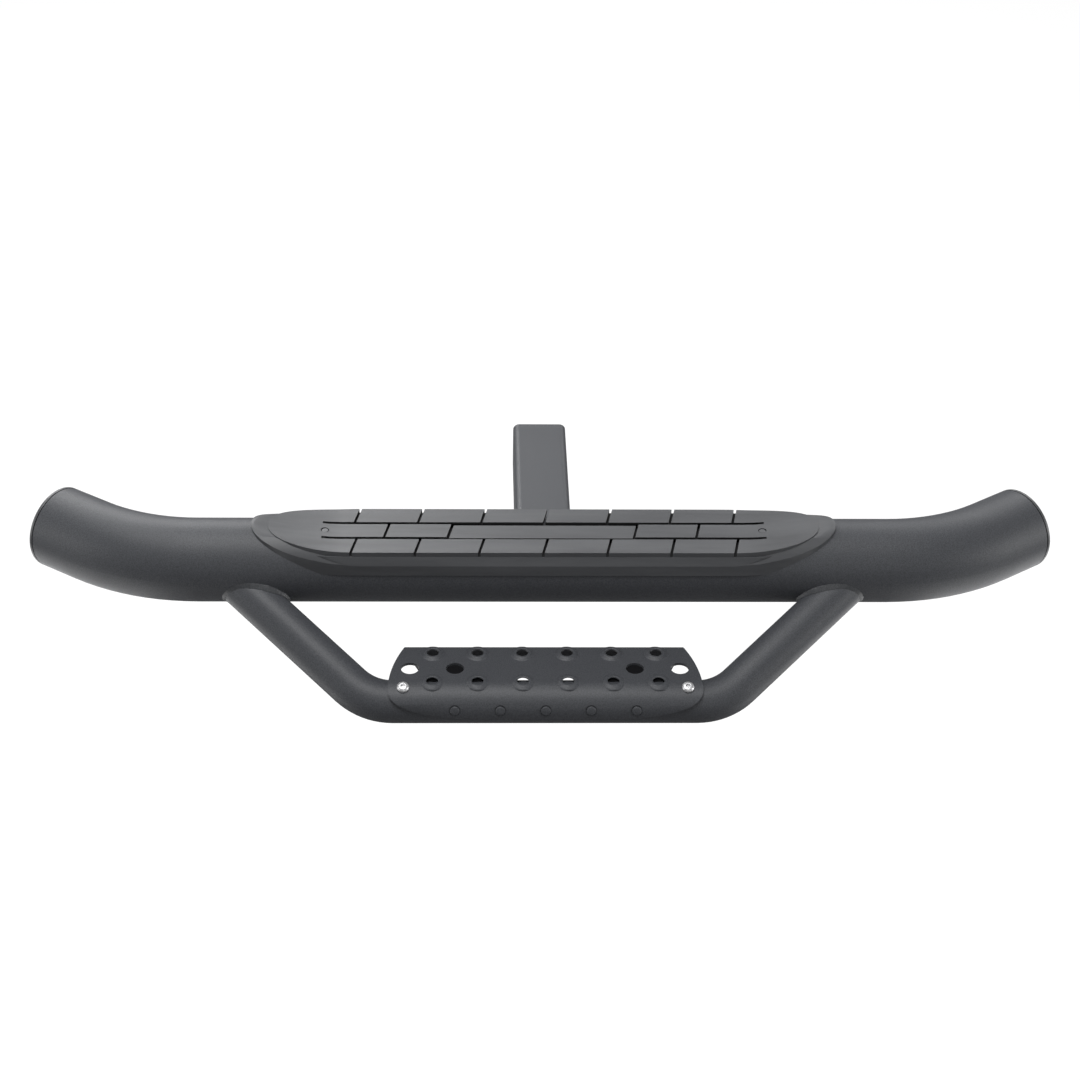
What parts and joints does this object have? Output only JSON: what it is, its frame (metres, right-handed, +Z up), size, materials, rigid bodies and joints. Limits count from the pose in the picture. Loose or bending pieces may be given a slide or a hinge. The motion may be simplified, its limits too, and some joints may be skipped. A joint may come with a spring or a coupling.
{
  "type": "hitch receiver step",
  "caption": "Bent round step tube on a square receiver shank, with a rubber tread on top and a lower punched step plate on a U-shaped drop tube.",
  "frame": {"origin": "middle of the hitch pin hole, on the shank's axis", "axes": "+X to the right along the step tube and the pin hole, +Y towards the vehicle along the shank, +Z up"},
  "size_m": [0.936, 0.3346, 0.1336],
  "materials": {
    "black_powder_coat": "satin, finely textured",
    "coated_weld": "satin, rippled",
    "black_plastic": "fine grain",
    "black_rubber": "moulded, matt",
    "stainless_steel": "plain"
  },
  "bodies": {
    "root": {"main_tube": "black_powder_coat", "left_end_cap": "black_plastic", "right_end_cap": "black_plastic", "shank": "black_powder_coat", "shank_weld": "coated_weld", "drop_tube": "black_powder_coat", "left_leg_weld": "coated_weld", "right_leg_weld": "coated_weld", "step_plate": "black_powder_coat", "left_plate_bracket": "black_powder_coat", "right_plate_bracket": "black_powder_coat", "left_bracket_weld": "coated_weld", "right_bracket_weld": "coated_weld", "left_plate_screw": "stainless_steel", "right_plate_screw": "stainless_steel", "left_rivet_nut": "stainless_steel", "right_rivet_nut": "stainless_steel", "tread_pad": "black_rubber", "left_pad_pin": "black_plastic", "right_pad_pin": "black_plastic"}
  },
  "joints": []
}
